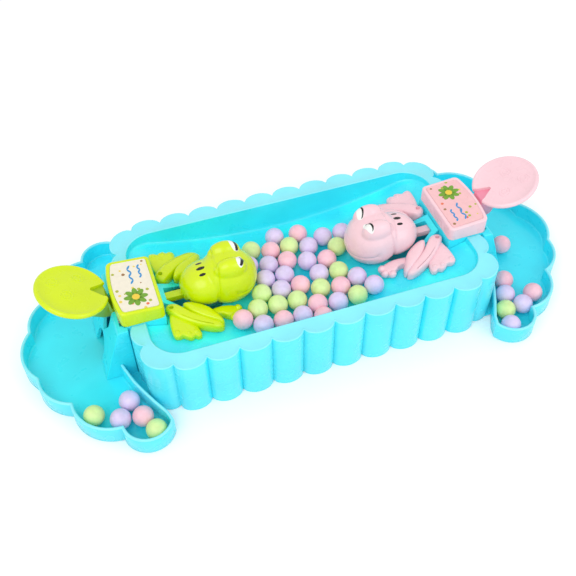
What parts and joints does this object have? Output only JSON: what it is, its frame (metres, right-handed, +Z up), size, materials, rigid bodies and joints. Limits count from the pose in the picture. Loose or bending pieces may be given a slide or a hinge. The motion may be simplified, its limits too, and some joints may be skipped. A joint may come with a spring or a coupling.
{
  "type": "frog marble grabbing game",
  "caption": "Tabletop marble game: fluted oval basin with a dished floor, a lever-driven frog at each end, a floor port and a catching tray behind it.",
  "frame": {"origin": "centre of the basin on the table plane, under the middle of the whole game", "axes": "+X along the game from the green frog to the pink frog, +Y across it away from the camera's side, +Z up"},
  "size_m": [0.3498, 0.1598, 0.0653],
  "materials": {
    "basin_blue": "glossy moulded",
    "green": "glossy moulded",
    "pink": "glossy moulded",
    "label_cream": "printed film",
    "label_pink": "printed film",
    "marble_lavender": "matte",
    "marble_pink": "matte",
    "marble_green": "matte",
    "steel": "bright"
  },
  "bodies": {
    "base": {"basin": "basin_blue", "green_tray": "basin_blue", "green_housing": "basin_blue", "green_chute": "basin_blue", "green_label_cover": "green", "green_label_plate": "label_cream", "green_pivot_pin": "steel", "green_return_spring": "steel", "green_frog_limb_a": "green", "green_frog_limb_b": "green", "green_cover_screw_a": "steel", "green_chute_screw_a": "steel", "green_cover_screw_b": "steel", "green_chute_screw_b": "steel", "green_tray_marble_1": "marble_green", "green_tray_marble_2": "marble_lavender", "green_tray_marble_3": "marble_lavender", "green_tray_marble_4": "marble_pink", "green_tray_marble_5": "marble_green", "pink_tray": "basin_blue", "pink_housing": "basin_blue", "pink_chute": "basin_blue", "pink_label_cover": "pink", "pink_label_plate": "label_pink", "pink_pivot_pin": "steel", "pink_return_spring": "steel", "pink_frog_limb_a": "pink", "pink_frog_limb_b": "pink", "pink_cover_screw_a": "steel", "pink_chute_screw_a": "steel", "pink_cover_screw_b": "steel", "pink_chute_screw_b": "steel", "pink_tray_marble_1": "marble_pink", "pink_tray_marble_2": "marble_pink", "pink_tray_marble_3": "marble_lavender", "pink_tray_marble_4": "marble_green", "pink_tray_marble_5": "marble_lavender", "pink_tray_marble_6": "marble_lavender", "pink_tray_marble_7": "marble_pink", "basin_marble_1": "marble_lavender", "basin_marble_2": "marble_pink", "basin_marble_3": "marble_pink", "basin_marble_4": "marble_green", "basin_marble_5": "marble_lavender", "basin_marble_6": "marble_pink", "basin_marble_7": "marble_lavender", "basin_marble_8": "marble_lavender", "basin_marble_9": "marble_lavender", "basin_marble_10": "marble_pink", "basin_marble_11": "marble_green", "basin_marble_12": "marble_green", "basin_marble_13": "marble_pink"},
    "green_lever_body": {"green_lever": "green"},
    "green_neck": {"green_neck_bar": "green", "green_hinge_pin": "steel"},
    "green_frog": {"green_frog_shell": "green"},
    "pink_lever_body": {"pink_lever": "pink"},
    "pink_neck": {"pink_neck_bar": "pink", "pink_hinge_pin": "steel"},
    "pink_frog": {"pink_frog_shell": "pink"}
  },
  "joints": [
    {"name": "green_lever_press", "type": "hinge", "parent": "base", "child": "green_lever_body", "pos_m": [-0.1, 0, 0.04], "axis": [0, -1, 0], "range_deg": [0, 20], "stiffness_Nm_per_rad": 0.06, "springref_deg": -14.32, "deforming": ["green_return_spring"]},
    {"name": "green_neck_slide", "type": "slide", "parent": "base", "child": "green_neck", "axis": [1, 0, 0], "range_m": [0, 0.00908]},
    {"name": "green_frog_tip", "type": "hinge", "parent": "green_neck", "child": "green_frog", "pos_m": [-0.072, 0, 0.034], "axis": [0, -1, 0], "range_deg": [0, 25]},
    {"name": "pink_lever_press", "type": "hinge", "parent": "base", "child": "pink_lever_body", "pos_m": [0.1, 0, 0.04], "axis": [0, 1, 0], "range_deg": [0, 20], "stiffness_Nm_per_rad": 0.06, "springref_deg": -14.32, "deforming": ["pink_return_spring"]},
    {"name": "pink_neck_slide", "type": "slide", "parent": "base", "child": "pink_neck", "axis": [-1, 0, 0], "range_m": [0, 0.00908]},
    {"name": "pink_frog_tip", "type": "hinge", "parent": "pink_neck", "child": "pink_frog", "pos_m": [0.072, 0, 0.034], "axis": [0, 1, 0], "range_deg": [0, 25]}
  ],
  "couplings": [
    {"joint": "green_neck_slide", "follows": "green_lever_press", "m_per_rad": 0.025868},
    {"joint": "green_frog_tip", "follows": "green_lever_press", "ratio": 1.25},
    {"joint": "pink_neck_slide", "follows": "pink_lever_press", "m_per_rad": 0.025868},
    {"joint": "pink_frog_tip", "follows": "pink_lever_press", "ratio": 1.25}
  ]
}
